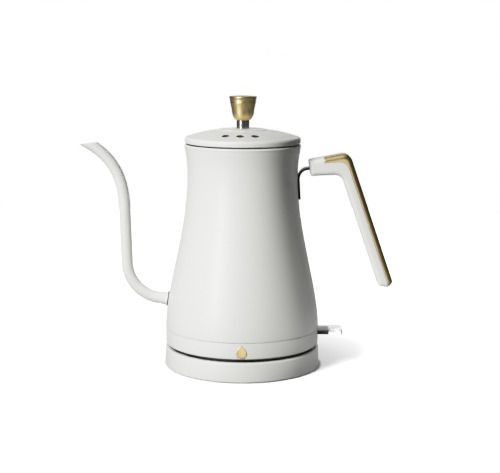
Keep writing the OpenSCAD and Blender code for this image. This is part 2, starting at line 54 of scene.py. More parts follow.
base_r = 69
base_low_z = 0.8
base_low_in = 2.4
base_low_round = 1.3
base_top_z = 18
base_top_round = 1.6
base_lip_round = 0.4
base_wall = 3.4
deck_r = 64
deck_z = 15.8
deck_gap = 0.2
deck_ledge = 2
cord_z = 8.6
cord_bush_r = 5

body_r = 68
neck_r = 48.4
rim_r = 51
seam_z = 35
neck_z = 170
rim_z = 197.2
wall = 0.8
floor_z = 47
bead_r = 1.3
tongue_r = 66.15
seam_round = 0.35
# How far each end of the two curves of the vessel's side is pulled along its own direction.
body_pull = 35
neck_pull = 48
flare_pull = 11
# The flare's end and the point it heads from, as distances inwards and down from the rim's edge.
flare_end = (0.4, 4.4)
flare_from = (1.4, 10)

skirt_z = 21
skirt_r = 67.9
skirt_in_r = 65.4
skirt_round = 1.2
skirt_low_edge = 0.3
skirt_tongue_h = 4
skirt_tongue_t = 1.8
slot_low = 5
slot_high = 3.2
slot_spare = 0.6

lid_r = 50.7
lid_z = 198.4
lid_t = 1
lid_edge_h = 5.7
lid_round = 2.6
lid_low_round = 0.8
dome_rise = 7
dome_edge_r = 48.6
dome_power = 2.4
dome_z = 211.1
disc_r = 21.5
disc_h = 0.4
vent_ring_r = 37.5
vent_r = 3.2
vent_angles = [-22.8, -3.3, 16.2]
pan_r = 45.2

stem_r = 5.7
seat_z = 211
knob_z = 218.2
knob_r = 12.2
knob_h = 21.2
screw_r = 2

spout_root_r = 5.2
spout_tip_r = 4.9
spout_start = (-64.5, 58.5)
spout_rise = 174
spout_root_l = 8.2
# Each bend: its radius, the angle it turns, its steps, and the straight run after it.
spout_bends = [(33, -82.2, 30, 50.2), (94, 12.6, 8, 0), (54.5, 31.5, 16, 0), (57, 13.5, 6, 3)]
mouth_slope = 0.13
spout_spare = 10
gasket_t = 0.8
flange_t = 0.8
flange_r = 6.5
sleeve_r = 5.65
sleeve_end = 6.5
lip_start = 5.9
lip_r = 5.85

handle_w = 22
arm_low = (59.4, 170.1)
arm_high = (57.3, 183.6)
knee_out = (93.2, 190.7)
knee_in = (86.3, 171.5)
grip_out = (133.2, 76.5)
grip_end_out = (129.8, 71.2)
grip_end_in = (120.5, 73)
trim_x = 71
trim_start = (71, 181.6)
trim_knee = (90.6, 183.1)
edge_round = 4
# The groove along the join of handle and trim, and how much of its depth each one's edge rounds off.
groove = 0.35
grip_ease = 0.35
trim_ease = 0.8

bracket_w = 14
bracket_t = 1.8
strap_z = 176.2
strap_r = 8.4
strap_x = 49.1
strap_end_x = 80.5
strap_foot_z = 149.2
handle_screw_x = (66, 75)

pivot_x = 60
pivot_z = 30.7
pin_r = 1.5
hub_r = 3.1
hub_half = 5.9
lever_w = 22
lever_t = 3.4
arm_start = 4.2
arm_end_x = 76.8
# The tab on the arm's end that holds the paddle.
tab_l = 6
tab_half_w = 3
tab_half_t = 1
paddle_end_x = 89.3
paddle_half = 11.6
paddle_z = 28.3
paddle_t = 4.2
paddle_root_round = 0.6
paddle_round = 4.5

drop_r = 4.5
drop_tip = 7.2
drop_z = 26.3
drop_t = 0.55

# ---- Outlines ----


def arc(centre, r, start, end, n):
    """Points on an arc, from one angle in degrees to another."""
    angles = [math.radians(start + (end - start) * i / n) for i in range(n + 1)]
    return [(centre[0] + r * math.cos(a), centre[1] + r * math.sin(a)) for a in angles]


def bezier(a, b, c, d, n):
    """Points on the cubic curve from a to d that b and c pull on."""
    points = []
    for i in range(n + 1):
        t = i / n
        u = 1 - t
        k = (u ** 3, 3 * u * u * t, 3 * u * t * t, t ** 3)
        points.append(tuple(k[0] * a[j] + k[1] * b[j] + k[2] * c[j] + k[3] * d[j] for j in (0, 1)))
    return points


def unit(v):
    return np.array(v, float) / np.linalg.norm(v)


def corner(a, p, b, r, n):
    """The arc of radius r that rounds the corner p between its neighbours a and b."""
    p = np.array(p, float)
    u = unit(np.array(a) - p)
    v = unit(np.array(b) - p)
    half = math.acos(np.clip(u @ v, -1, 1)) / 2
    centre = p + unit(u + v) * r / math.sin(half)
    first = p + u * r / math.tan(half) - centre
    last = p + v * r / math.tan(half) - centre
    start = math.degrees(math.atan2(first[1], first[0]))
    turn = math.degrees(math.atan2(last[1], last[0])) - start
    turn = (turn + 180) % 360 - 180
    return arc(centre, r, start, start + turn, n)


def rounded(points, radii, n):
    """A closed outline with each corner rounded by its own radius."""
    k = len(points)
    out = []
    for i in range(k):
        out += corner(points[i - 1], points[i], points[(i + 1) % k], radii[i], n)
    return out


def signed_area(points):
    """Twice an outline's area, positive where it runs anticlockwise."""
    k = len(points)
    return sum(points[i][0] * points[(i + 1) % k][1] - points[(i + 1) % k][0] * points[i][1]
               for i in range(k))


def inset(points, depths):
    """Moves each edge of an outline inwards by its own depth. Edge i runs from point i to point i + 1."""
    pts = [np.array(p, float) for p in points]
    k = len(pts)
    side = 1 if signed_area(pts) > 0 else -1
    lines = []
    for i in range(k):
        d = unit(pts[(i + 1) % k] - pts[i])
        normal = side * np.array([-d[1], d[0]])
        lines.append((pts[i] + normal * depths[i], d))
    out = []
    for i in range(k):
        (p, d), (q, e) = lines[i - 1], lines[i]
        t = np.linalg.solve(np.array([d, -e]).T, q - p)[0]
        out.append(tuple(p + d * t))
    return out


def turns_in(points, i):
    """True where the outline's corner i is convex."""
    a, p, b = (np.array(points[j % len(points)], float) for j in (i - 1, i, i + 1))
    cross = (p - a)[0] * (b - p)[1] - (p - a)[1] * (b - p)[0]
    return cross * signed_area(points) > 0


# ---- Meshes ----


def mark_sharp(bm, angle):
    """Shades a mesh smooth except across edges that turn further than an angle in degrees."""
    for face in bm.faces:
        face.smooth = True
    for edge in bm.edges:
        if len(edge.link_faces) == 2:
            edge.smooth = edge.calc_face_angle() < math.radians(angle)


def mesh_piece(name, points, faces, angle=CREASE):
    """A new object from points in millimetres."""
    mesh = bpy.data.meshes.new(name)
    mesh.from_pydata([tuple(c * MM for c in p) for p in points], [], faces)
    bm = bmesh.new()
    bm.from_mesh(mesh)
    bmesh.ops.remove_doubles(bm, verts=bm.verts, dist=1e-7)
    bmesh.ops.recalc_face_normals(bm, faces=bm.faces)
    mark_sharp(bm, angle)
    bm.to_mesh(mesh)
    bm.free()
    piece = bpy.data.objects.new(name, mesh)
    bpy.context.scene.collection.objects.link(piece)
    return piece


def bake_modifiers(piece, angle=CREASE):
    """Turns a piece's modifiers into plain mesh."""
    graph = bpy.context.evaluated_depsgraph_get()
    mesh = bpy.data.meshes.new_from_object(piece.evaluated_get(graph))
    piece.modifiers.clear()
    piece.data = mesh
    bm = bmesh.new()
    bm.from_mesh(mesh)
    mark_sharp(bm, angle)
    bm.to_mesh(mesh)
    bm.free()


def cut(piece, cutters, angle=CREASE):
    """Takes the cutters away from a piece and deletes them."""
    for cutter in cutters:
        mod = piece.modifiers.new("cut", "BOOLEAN")
        mod.operation = "DIFFERENCE"
        mod.solver = "EXACT"
        mod.object = cutter
    bake_modifiers(piece, angle)
    for cutter in cutters:
        bpy.data.objects.remove(cutter)


def soften(piece, width, segments):
    """Rounds a piece's sharp edges."""
    mod = piece.modifiers.new("edges", "BEVEL")
    mod.width = width * MM
    mod.segments = segments
    mod.limit_method = "ANGLE"
    mod.angle_limit = math.radians(35)
    bake_modifiers(piece)


def lathe(name, outline, steps):
    """Turns a closed outline of (radius, height) points round the Z axis."""
    points = []
    rings = []
    for r, z in outline:
        if r < 1e-6:
            rings.append([len(points)] * steps)
            points.append((0, 0, z))
            continue
        rings.append(list(range(len(points), len(points) + steps)))
        for s in range(steps):
            a = 2 * math.pi * s / steps
            points.append((r * math.cos(a), r * math.sin(a), z))
    faces = []
    for i, ring in enumerate(rings):
        above = rings[(i + 1) % len(rings)]
        if ring[0] == ring[1] and above[0] == above[1]:
            continue
        for s in range(steps):
            t = (s + 1) % steps
            face = [ring[s], ring[t], above[t], above[s]]
            faces.append(list(dict.fromkeys(face)))
    return mesh_piece(name, points, faces)


def skin(name, rings, angle=CREASE, cap=True):
    """Joins closed rings of equal length, one after another, and caps the ends."""
    k = len(rings[0])
    points = [p for ring in rings for p in ring]
    faces = []
    for i in range(len(rings) - 1):
        for s in range(k):
            t = (s + 1) % k
            faces.append([i * k + s, i * k + t, (i + 1) * k + t, (i + 1) * k + s])
    if cap:
        for first in (0, (len(rings) - 1) * k):
            ends = tessellate_polygon([[Vector(p) for p in points[first:first + k]]])
            faces += [[first + i for i in face] for face in ends]
    else:
        last = (len(rings) - 1) * k
        for s in range(k):
            t = (s + 1) % k
            faces.append([last + s, last + t, t, s])
    return mesh_piece(name, points, faces, angle)


def box(name, low, high):
    x, y, z = zip(low, high)
    corners = [(x[i], y[j], z[k]) for i in (0, 1) for j in (0, 1) for k in (0, 1)]
    faces = [(0, 1, 3, 2), (4, 6, 7, 5), (0, 4, 5, 1), (2, 3, 7, 6), (0, 2, 6, 4), (1, 5, 7, 3)]
    return mesh_piece(name, corners, faces)


def rod(name, start, end, r, steps=48):
    """A cylinder between two points."""
    start = np.array(start, float)
    end = np.array(end, float)
    axis = unit(end - start)
    side = unit(np.cross(axis, (0, 0, 1) if abs(axis[2]) < 0.9 else (1, 0, 0)))
    up = np.cross(axis, side)
    turn = [2 * math.pi * s / steps for s in range(steps)]
    ring = [r * (math.cos(a) * side + math.sin(a) * up) for a in turn]
    return skin(name, [[start + p for p in ring], [end + p for p in ring]])


def side_prism(name, outline, half_w):
    """An outline in the XZ plane, extruded along Y."""
    return skin(name, [[(x, y, z) for x, z in outline] for y in (-half_w, half_w)])


def join(pieces, name):
    """Unites closed pieces into one."""
    first = pieces[0]
    for other in pieces[1:]:
        mod = first.modifiers.new("join", "BOOLEAN")
        mod.operation = "UNION"
        mod.solver = "EXACT"
        mod.object = other
    bake_modifiers(first)
    for other in pieces[1:]:
        bpy.data.objects.remove(other)
    first.name = name
    return first


def place(piece, body, slot, *nodes):
    """Hangs a piece on the body it rides on and hides the CAD nodes it stands for; slot is not used."""
    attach(piece, body)
    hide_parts(*nodes)


# ---- Vessel ----

vessel_side = bezier((body_r, seam_z), (body_r, seam_z + body_pull), (neck_r, neck_z - neck_pull),
                     (neck_r, neck_z), 64)
vessel_flare = bezier((neck_r, neck_z), (neck_r, neck_z + flare_pull),
                      (rim_r - flare_from[0], rim_z - flare_from[1]),
                      (rim_r - flare_end[0], rim_z - flare_end[1]), 16)
vessel_outline = vessel_side + vessel_flare[1:]


def vessel_r(z):
    """The vessel's outer radius at a height."""
    zs = [p[1] for p in vessel_outline]
    rs = [p[0] for p in vessel_outline]
    return float(np.interp(z, zs, rs))


def heading(angle):
    """The direction at an angle in degrees."""
    return np.array([math.cos(math.radians(angle)), math.sin(math.radians(angle))])


def spout_path():
    """The spout's centre line as (x, z) points, as in part.scad but in finer steps."""
    at = np.array(spout_start, float)
    way = spout_rise
    points = [at + spout_root_l * t * heading(way) for t in (0, 0.25, 0.5, 0.75, 1)]
    for r, turn, steps, run in spout_bends:
        sign = 1 if turn > 0 else -1
        at = points[-1]
        centre = at + sign * r * np.array([-heading(way)[1], heading(way)[0]])
        for i in range(1, steps + 1):
            h = heading(way + turn * i / steps)
            points.append(centre - sign * r * np.array([-h[1], h[0]]))
        way += turn
        at = points[-1]
        if run:
            count = max(2, round(run / 4))
            points += [at + run * i / count * heading(way) for i in range(1, count + 1)]
    return points


spout_line = spout_path()
spout_axis = np.array([heading(spout_rise)[0], 0, heading(spout_rise)[1]])
spout_root = np.array([spout_start[0], 0, spout_start[1]])


def shell_piece():
    bead = arc((rim_r - bead_r, rim_z - bead_r), bead_r, -30, 180, 20)
    inner = [(r - wall, z) for r, z in reversed(vessel_outline) if z > floor_z + 4]
    outline = [(body_r - seam_round, seam_z), (body_r - 0.1, seam_z + 0.1), (body_r, seam_z + seam_round)]
    outline += [p for p in vessel_outline if p[1] > seam_z + 1]
    outline += bead + inner + [(tongue_r, floor_z + 2.5), (tongue_r, seam_z)]
    piece = lathe("vessel", outline, 256)
    hole = rod("hole", spout_root - 8 * spout_axis, spout_root + 8 * spout_axis, spout_root_r + slip)
    cut(piece, [hole])
    return piece


def spout_piece():
    """The swept tube, run past its mouth, cut off along the mouth's plane and rounded there."""
    sides = 64
    mouth = spout_line[-1]
    last_way = unit(mouth - spout_line[-2])
    line = spout_line + [mouth + spout_spare * last_way]
    k = len(line)
    length = [0.0]
    for i in range(1, k):
        length.append(length[-1] + float(np.linalg.norm(line[i] - line[i - 1])))

    def ring(i, r):
        way = unit(line[min(i + 1, k - 1)] - line[max(i - 1, 0)])
        out = []
        for s in range(sides):
            u = r * math.cos(2 * math.pi * s / sides)
            v = r * math.sin(2 * math.pi * s / sides)
            out.append((line[i][0] - u * way[1], v, line[i][1] + u * way[0]))
        return out

    radii = [spout_root_r + (spout_tip_r - spout_root_r) * s / length[-1] for s in length]
    rings = [ring(i, radii[i]) for i in range(k)]
    rings += [ring(i, radii[i] - wall) for i in range(k - 1, -1, -1)]
    piece = skin("spout", rings, cap=False)
    lid = [(-20, 0), (20, 0), (20, 20), (-20, 20)]
    tilt = heading(math.degrees(math.atan(mouth_slope)))
    plane = [(mouth[0] + x * tilt[0] - z * tilt[1], mouth[1] + x * tilt[1] + z * tilt[0]) for x, z in lid]
    cut(piece, [side_prism("above", plane, 20)])
    soften(piece, 0.18, 3)
    return piece


def collar_piece():
    """The flange and sleeve where the spout leaves the vessel, laid on a gasket on the vessel's wall."""
    sides = 64
    side = np.array([0.0, 1.0, 0.0])
    up = np.cross(spout_axis, side)

    def wall_at(offset):
        """How far along the spout's axis a line beside it leaves the vessel."""
        low, high = -10.0, 12.0
        for _ in range(30):
            mid = (low + high) / 2
            p = spout_root + offset + mid * spout_axis
            if math.hypot(p[0], p[1]) < vessel_r(p[2]):
                low = mid
            else:
                high = mid
        return low

    def ring(r, along=None, lift=0.0):
        out = []
        for s in range(sides):
            a = 2 * math.pi * s / sides
            offset = r * (math.cos(a) * side + math.sin(a) * up)
            t = wall_at(offset) + lift if along is None else along
            out.append(spout_root + offset + t * spout_axis)
        return out

    bore = spout_root_r + slip
    top = gasket_t + flange_t
    edge = 0.25
    rings = [ring(bore, lift=gasket_t), ring(flange_r - 0.1, lift=gasket_t)]
    rings.append(ring(flange_r, lift=gasket_t + 0.1))
    rings += [ring(flange_r, lift=top - edge), ring(flange_r - 0.3 * edge, lift=top - 0.3 * edge)]
    rings += [ring(flange_r - edge, lift=top), ring(sleeve_r + edge, lift=top)]
    rings += [ring(sleeve_r + 0.3 * edge, lift=top + 0.3 * edge), ring(sleeve_r, lift=top + edge)]
    rings += [ring(sleeve_r, along=lip_start), ring(lip_r, along=lip_start + 0.05)]
    rings += [ring(lip_r, along=sleeve_end - 0.1), ring(lip_r - 0.1, along=sleeve_end)]
    rings.append(ring(bore, along=sleeve_end))
    return skin("spout_collar_ring", rings, cap=False)


def skirt_piece():
    outline = [(skirt_in_r, skirt_z + skirt_low_edge), (skirt_in_r + skirt_low_edge, skirt_z)]
    outline += arc((skirt_r - skirt_round, skirt_z + skirt_round), skirt_round, -90, 0, 10)
    outline += arc((skirt_r - seam_round, seam_z - 0.6), seam_round, 0, 90, 5)
    outer, inner = tongue_r - slip, tongue_r - skirt_tongue_t
    outline += [(outer, seam_z - 0.25), (outer, seam_z + skirt_tongue_h), (inner, seam_z + skirt_tongue_h)]
    outline += [(inner, skirt_z + 5), (skirt_in_r, skirt_z + 4)]
    piece = lathe("skirt", outline, 256)
    half = lever_w / 2 + slot_spare
    low, high = pivot_z - slot_low, pivot_z + slot_high
    slot = rounded([(-half, low), (half, low), (half, high), (-half, high)], [1, 1, 1, 1], 6)
    hole = skin("hole", [[(x, y, z) for y, z in slot] for x in (58, 75)])
    cut(piece, [hole])
    return piece


def base_piece():
    low_r = base_r - base_low_in
    lip_r_in = deck_r + deck_gap
    ledge_r, ledge_z = deck_r - deck_ledge, deck_z - deck_ledge
    outline = [(low_r, base_low_z + 0.4), (low_r, base_low_z)]
    outline += arc((base_r - base_low_round, base_low_z + base_low_round), base_low_round, -90, -8, 10)
    outline += arc((low_r, base_top_z - base_top_round), base_top_round, 4, 90, 10)
    outline += arc((lip_r_in + base_lip_round, base_top_z - base_lip_round), base_lip_round, 90, 180, 4)
    outline += [(lip_r_in, deck_z), (ledge_r, deck_z), (ledge_r, ledge_z), (base_r - base_wall, ledge_z)]
    piece = lathe("base_rim", outline, 256)
    hole = rod("hole", (0, base_r - 10, cord_z), (0, base_r + 10, cord_z), cord_bush_r + slip)
    cut(piece, [hole])
    return piece


# ---- Lid and knob ----


def dome_at(r, drop=0.0):
    """A point on the lid's dome at a radius, lowered by drop."""
    return (r, dome_z - drop - dome_rise * (r / dome_edge_r) ** dome_power)


def lid_piece():
    outline = [(screw_r + 0.3, seat_z), (stem_r + 1, seat_z)]
    outline += [dome_at(r) for r in np.linspace(8.5, disc_r - 0.35, 10)]
    outline += [dome_at(disc_r - 0.1, 0.06), dome_at(disc_r + 0.1, 0.22), dome_at(disc_r + 0.25, disc_h)]
    outline += [dome_at(r, disc_h) for r in np.linspace(disc_r + 1, 47, 18)]
    outline += arc((lid_r - lid_round, lid_z + lid_edge_h - 2.8), lid_round, 80, 0, 14)
    outline += arc((lid_r - lid_low_round, lid_z + lid_low_round), lid_low_round, 0, -90, 8)
    outline += [(pan_r + 0.8, lid_z), (pan_r + 0.8, lid_z + lid_t), (lid_r - 1.8, lid_z + lid_t)]
    outline += [(lid_r - 1.4, lid_z + lid_edge_h - 2.6)]
    outline += [dome_at(r, disc_h + lid_t) for r in np.linspace(46, disc_r, 12)]
    outline += [(stem_r + 1, seat_z - lid_t), (screw_r + 0.3, seat_z - lid_t)]
    piece = lathe("lid_dome", outline, 256)
    holes = []
    for a in vent_angles:
        x = vent_ring_r * math.sin(math.radians(a))
        y = -vent_ring_r * math.cos(math.radians(a))
        holes.append(rod("hole", (x, y, lid_z + 2), (x, y, dome_z + 1), vent_r, 64))
    cut(piece, holes)
    return piece


def knob_outline():
    k = knob_r
    h = knob_h
    dip = 0.14
    bore_r, bore_h = screw_r + slip, 11
    points = [(0, bore_h - 0.01), (bore_r, bore_h), (bore_r, 0), (0.5 * k, 0)]
    points += bezier((0.52 * k, 0), (0.68 * k, 0.07 * h), (0.77 * k, 0.18 * h), (0.8 * k, 0.32 * h), 20)
    points += bezier((0.81 * k, 0.36 * h), (0.84 * k, 0.48 * h), (0.88 * k, 0.58 * h),
                     (0.93 * k, 0.7 * h), 10)
    for share, r in ((0.745, 0.94), (0.81, 0.957)):
        points += [(r * k, (share - 0.022) * h), (r * k - 0.05, (share - 0.014) * h)]
        points += [(r * k - dip, share * h), (r * k - 0.04, (share + 0.012) * h)]
        points.append((r * k + 0.03, (share + 0.02) * h))
    points += arc((k - 0.7, 0.94 * h), 0.7, -10, 84, 12)
    points += bezier((k - 0.9, 0.94 * h + 0.66), (0.85 * k, 0.978 * h), (0.55 * k, h), (0, h), 16)[1:]
    return [(r, z + knob_z) for r, z in points]


def stem_outline():
    r = stem_r
    points = [(screw_r + 0.2, seat_z), (r, seat_z), (r, seat_z + 0.7), (r - 0.25, seat_z + 0.85)]
    points += [(r - 0.25, seat_z + 1.1), (r, seat_z + 1.25), (r, knob_z - 0.35), (r - 0.35, knob_z)]
    return points + [(screw_r + 0.2, knob_z)]


# ---- Handle ----

body_corners = [arm_low, arm_high, None, trim_start, trim_knee, grip_end_out, grip_end_in, knee_in]
trim_top = (trim_x, arm_high[1] + (knee_out[1] - arm_high[1]) * (trim_x - arm_high[0])
            / (knee_out[0] - arm_high[0]))
body_corners[2] = trim_top
body_radii = [1.2, 1.6, 0.35, 0.8, 8, 1, 2.5, 9]
body_split = [False, False, True, True, True, False, False, False]
trim_corners = [trim_top, trim_start, trim_knee, grip_end_out, grip_out, knee_out]
trim_radii = [0.35, 0.8, 8, 1, 2.5, 8]
trim_split = [True, True, True, False, False, False]


def handle_level(corners, radii, split, ease, y):
    """The outline of one half of the handle at a distance y from its middle plane."""
    over = abs(y) - (handle_w / 2 - edge_round)
    round_in = edge_round - math.sqrt(max(edge_round ** 2 - over ** 2, 0)) if over > 0 else 0
    into_groove = min(max(0, abs(y) - (handle_w / 2 - groove)) / groove, 1)
    groove_in = ease * (1 - math.sqrt(1 - into_groove ** 2))
    depths = [0.03 + groove_in if s else round_in for s in split]
    level = inset(corners, depths)
    out = []
    for i, r in enumerate(radii):
        both_split = split[i - 1] and split[i]
        depth = 0 if both_split or split[i - 1] != split[i] else round_in
        r = max(r - depth, 0.3) if turns_in(corners, i) else r + depth
        out += corner(level[i - 1], level[i], level[(i + 1) % len(level)], r, 10)
    return [(p[0], y, p[1]) for p in out]


def handle_piece(name, corners, radii, split, ease):
    """Handle or trim, stacked from its outlines at a row of distances from the middle plane."""
    half = handle_w / 2
    flat = half - edge_round
    ys = [flat * i / 4 for i in range(4)]
    ys += [flat + edge_round * math.sin(math.radians(a)) for a in range(0, 91, 9)]
    ys.append(half - groove)
    ys = sorted(set(round(y, 5) for y in ys))
    ys = [-y for y in reversed(ys) if y > 0] + ys
    piece = skin(name, [handle_level(corners, radii, split, ease, y) for y in ys], 50)
    mod = piece.modifiers.new("normals", "WEIGHTED_NORMAL")
    mod.keep_sharp = True
    return piece


def bracket_piece():
    """The strap that holds the handle, its foot laid against the vessel."""
    bend = (strap_x + strap_r, strap_z - strap_r)
    outline = [(strap_end_x, strap_z + bracket_t / 2)]
    outline += arc(bend, strap_r + bracket_t / 2, 90, 180, 12)
    outline += [(neck_r - 9, bend[1]), (neck_r - 9, strap_foot_z)]
    outline += [(strap_x + bracket_t / 2 + 1, strap_foot_z), (strap_x + bracket_t / 2, bend[1] - 2)]
    outline += list(reversed(arc(bend, strap_r - bracket_t / 2, 90, 180, 12)))
    outline += [(strap_end_x, strap_z - bracket_t / 2)]
    piece = side_prism("bracket", outline, bracket_w / 2)
    core = [(0, seam_z)] + [(r + 0.02, z) for r, z in vessel_outline] + [(0, rim_z - 4.4)]
    cut(piece, [lathe("core", core, 192)])
    holes = [rod("hole", (x, 0, strap_z - 5), (x, 0, strap_z + 5), 1.45) for x in handle_screw_x]
    cut(piece, holes)
    soften(piece, 0.45, 3)
    return piece


# ---- Switch lever ----


def lever_piece():
    arm = box("arm", (pivot_x + arm_start, -lever_w / 2, pivot_z - lever_t / 2),
              (arm_end_x, lever_w / 2, pivot_z + lever_t / 2))
    soften(arm, 0.7, 4)
    hub = rod("hub", (pivot_x, -hub_half, pivot_z), (pivot_x, hub_half, pivot_z), hub_r)
    web = box("web", (pivot_x - 4.4, -hub_half, pivot_z - 2), (pivot_x + 5.6, hub_half, pivot_z + 1.6))
    tab = box("tab", (arm_end_x - 0.8, -tab_half_w, pivot_z - tab_half_t),
              (arm_end_x + tab_l, tab_half_w, pivot_z + tab_half_t))
    soften(tab, 0.3, 2)
    piece = join([arm, hub, web, tab], "lever_arm")
    cut(piece, [rod("hole", (pivot_x, -10, pivot_z), (pivot_x, 10, pivot_z), pin_r + slip)])
    return piece


def paddle_piece():
    outline = rounded([(arm_end_x, -paddle_half), (paddle_end_x, -paddle_half), (paddle_end_x, paddle_half),
                       (arm_end_x, paddle_half)],
                      [paddle_root_round, paddle_round, paddle_round, paddle_root_round], 12)
    # The rounded edge, as steps inwards and up from the underside; the upper side mirrors it.
    edge = [(0.8, 0), (0.35, 0.12), (0.1, 0.38), (0, 0.85)]
    levels = edge + [(depth, paddle_t - z) for depth, z in reversed(edge)]
    middle = np.array([(arm_end_x + paddle_end_x) / 2, 0])
    rings = []
    for depth, z in levels:
        scale = np.array([1 - 2 * depth / (paddle_end_x - arm_end_x), 1 - depth / paddle_half])
        ring = [middle + (np.array(p) - middle) * scale for p in outline]
        rings.append([(x, y, paddle_z + z) for x, y in ring])
    piece = skin("paddle", rings, 50)
    pocket = box("pocket", (arm_end_x - 1, -tab_half_w - slip, pivot_z - tab_half_t - slip),
                 (arm_end_x + tab_l + 2 * slip, tab_half_w + slip, pivot_z + tab_half_t + slip))
    cut(piece, [pocket], 50)
    return piece


# ---- Badge ----


def badge_piece():
    """A plain drop, domed and wrapped on the skirt ring."""
    side = math.degrees(math.acos(drop_r / drop_tip))
    outline = [(0, drop_tip)] + arc((0, 0), drop_r, 90 + side, 450 - side, 60)
    levels = [(0, 0.0), (0, 0.3), (0.05, 0.42), (0.14, 0.5), (0.3, drop_t)]
    dome = [0.84, 0.68, 0.5, 0.32, 0.16]

    def ring(scale, height):
        out = []
        for x, z in outline:
            a = math.atan2(x * scale, skirt_r)
            r = skirt_r + height
            out.append((r * math.sin(a), -r * math.cos(a), drop_z + z * scale))
        return out

    rings = [ring(1 - d / drop_r, h) for d, h in levels]
    rings += [ring(s, drop_t + 0.05 * (1 - s * s)) for s in dome]
    return skin("badge_drop", rings, 40)


# ---- Building the pieces ----

vessel = shell_piece()
spout = spout_piece()
collar = collar_piece()
skirt = skirt_piece()
base_rim = base_piece()
lid = lid_piece()
knob = lathe("knob_turned", knob_outline(), 128)
stem = lathe("stem_turned", stem_outline(), 96)
grip = handle_piece("handle_grip", body_corners, body_radii, body_split, grip_ease)
trim = handle_piece("handle_strip", trim_corners, trim_radii, trim_split, trim_ease)
bracket = bracket_piece()
lever = lever_piece()
paddle = paddle_piece()
badge = badge_piece()

place(vessel, "kettle", "white_enamel", "kettle_shell")
place(spout, "kettle", "white_enamel", "spout_tube")
place(collar, "kettle", "white_enamel", "spout_collar")
place(skirt, "kettle", "white_plastic", "skirt_ring")
place(base_rim, "power_base", "white_plastic", "base_cover")
place(lid, "lid", "white_enamel", "lid_shell")
place(knob, "lid", "brass", "knob")
place(stem, "lid", "chrome", "knob_stem")
place(grip, "kettle", "white_plastic", "handle_body")
place(trim, "kettle", "brass", "handle_trim")
place(bracket, "kettle", "dark_steel", "handle_bracket")
place(lever, "lever", "black_plastic", "switch_lever")
place(paddle, "lever", "clear_plastic", "lever_paddle")
place(badge, "kettle", "brass", "badge")

# ---- Materials ----


def ramp(tree, value, start, end, low, high, shape="LINEAR"):
    """Runs from low to high while the value runs from start to end."""
    node = tree.nodes.new("ShaderNodeMapRange")
    node.interpolation_type = shape
    node.inputs["From Min"].default_value = start
    node.inputs["From Max"].default_value = end
    node.inputs["To Min"].default_value = low
    node.inputs["To Max"].default_value = high
    tree.links.new(value, node.inputs["Value"])
    return node.outputs["Result"]


def math_of(tree, operation, a, b):
    """Adds, multiplies or compares a socket with another one or with a number."""
    node = tree.nodes.new("ShaderNodeMath")
    node.operation = operation
    tree.links.new(a, node.inputs[0])
    if isinstance(b, (int, float)):
        node.inputs[1].default_value = b
    else:
        tree.links.new(b, node.inputs[1])
    return node.outputs[0]


